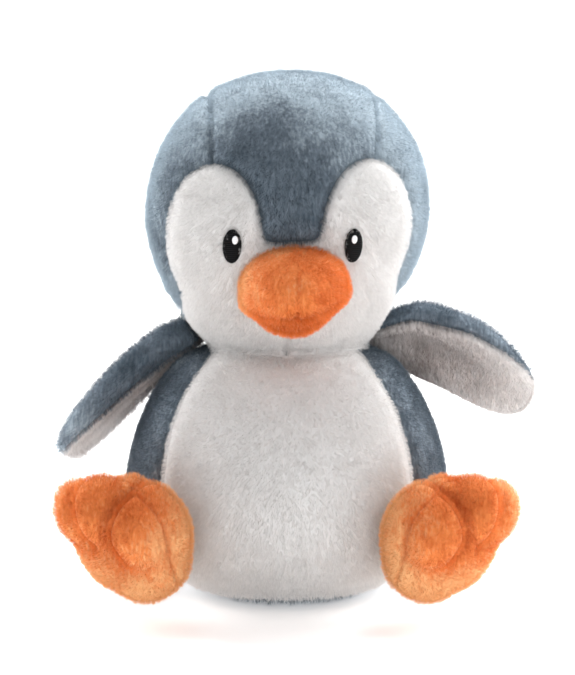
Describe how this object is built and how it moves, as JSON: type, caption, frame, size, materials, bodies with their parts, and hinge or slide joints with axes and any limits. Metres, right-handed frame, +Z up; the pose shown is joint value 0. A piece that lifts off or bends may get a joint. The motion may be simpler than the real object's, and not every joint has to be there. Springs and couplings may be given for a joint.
{
  "type": "plush penguin",
  "caption": "Seated stuffed penguin sewn from plush panels, with a big round head, a padded beak, embroidered eyes, two flat wings and two toed feet.",
  "frame": {"origin": "centre of the flat underside that it sits on", "axes": "+Z up through the head, the face looks along -Y, +X is the penguin's own left"},
  "size_m": [0.1842, 0.135, 0.2031],
  "materials": {
    "blue_grey_plush": "short cut pile with a soft sheen",
    "white_plush": "short cut pile, matt",
    "orange_plush": "short cut pile with a soft sheen",
    "polyester_fibre": "loose fibre filling",
    "pouch_cloth": "plain thin lining cloth",
    "plastic_pellets": "small moulded pellets",
    "black_thread": "satin stitch embroidery",
    "white_thread": "satin stitch embroidery",
    "sewing_thread": "spun polyester thread",
    "orange_thread": "spun polyester thread"
  },
  "bodies": {
    "torso": {"belly_panel": "white_plush", "back_panel_left": "blue_grey_plush", "back_panel_right": "blue_grey_plush", "base_panel": "blue_grey_plush", "torso_stuffing": "polyester_fibre", "bean_pouch": "pouch_cloth", "bean_pellets": "plastic_pellets"},
    "neck": {"neck_stuffing": "polyester_fibre"},
    "neck_seam": {"neck_seam_thread": "sewing_thread"},
    "head": {"crown_gusset": "blue_grey_plush", "face_panel_left": "white_plush", "face_panel_right": "white_plush", "head_side_left": "blue_grey_plush", "head_side_right": "blue_grey_plush", "head_stuffing": "polyester_fibre", "beak_upper": "orange_plush", "beak_lower": "orange_plush", "beak_stuffing": "polyester_fibre", "eye_left": "black_thread", "eye_right": "black_thread", "eye_glint_left": "white_thread", "eye_glint_right": "white_thread"},
    "wing_left": {"wing_left_outer": "blue_grey_plush", "wing_left_lining": "white_plush", "wing_left_wadding": "polyester_fibre"},
    "foot_left": {"foot_left_sole": "orange_plush", "foot_left_top": "orange_plush", "foot_left_stuffing": "polyester_fibre", "foot_left_toe_stitches": "orange_thread"},
    "wing_right": {"wing_right_outer": "blue_grey_plush", "wing_right_lining": "white_plush", "wing_right_wadding": "polyester_fibre"},
    "foot_right": {"foot_right_sole": "orange_plush", "foot_right_top": "orange_plush", "foot_right_stuffing": "polyester_fibre", "foot_right_toe_stitches": "orange_thread"}
  },
  "joints": [
    {"name": "head_tilt", "type": "hinge", "parent": "torso", "child": "neck", "pos_m": [0, 0, 0.096], "axis": [0, 1, 0], "range_deg": [-5, 5], "stiffness_Nm_per_rad": 0.6},
    {"name": "head_turn", "type": "hinge", "parent": "neck", "child": "neck_seam", "pos_m": [0, 0, 0.096], "axis": [0, 0, 1], "range_deg": [-30, 30], "stiffness_Nm_per_rad": 0.25},
    {"name": "head_nod", "type": "hinge", "parent": "neck_seam", "child": "head", "pos_m": [0, 0, 0.096], "axis": [1, 0, 0], "range_deg": [-10, 10], "stiffness_Nm_per_rad": 0.6},
    {"name": "wing_left_flap", "type": "hinge", "parent": "torso", "child": "wing_left", "pos_m": [0.0405, 0.006, 0.091], "axis": [0, -1, 0], "range_deg": [-25, 5], "stiffness_Nm_per_rad": 0.06},
    {"name": "wing_right_flap", "type": "hinge", "parent": "torso", "child": "wing_right", "pos_m": [-0.0405, 0.006, 0.091], "axis": [0, 1, 0], "range_deg": [-12, 32], "stiffness_Nm_per_rad": 0.06},
    {"name": "foot_left_flex", "type": "hinge", "parent": "torso", "child": "foot_left", "pos_m": [0.04166, -0.03027, 0.014], "axis": [0.8192, 0.5736, 0], "range_deg": [-6, 10], "stiffness_Nm_per_rad": 0.25},
    {"name": "foot_right_flex", "type": "hinge", "parent": "torso", "child": "foot_right", "pos_m": [-0.04166, -0.03027, 0.014], "axis": [0.8192, -0.5736, 0], "range_deg": [-6, 10], "stiffness_Nm_per_rad": 0.25}
  ]
}
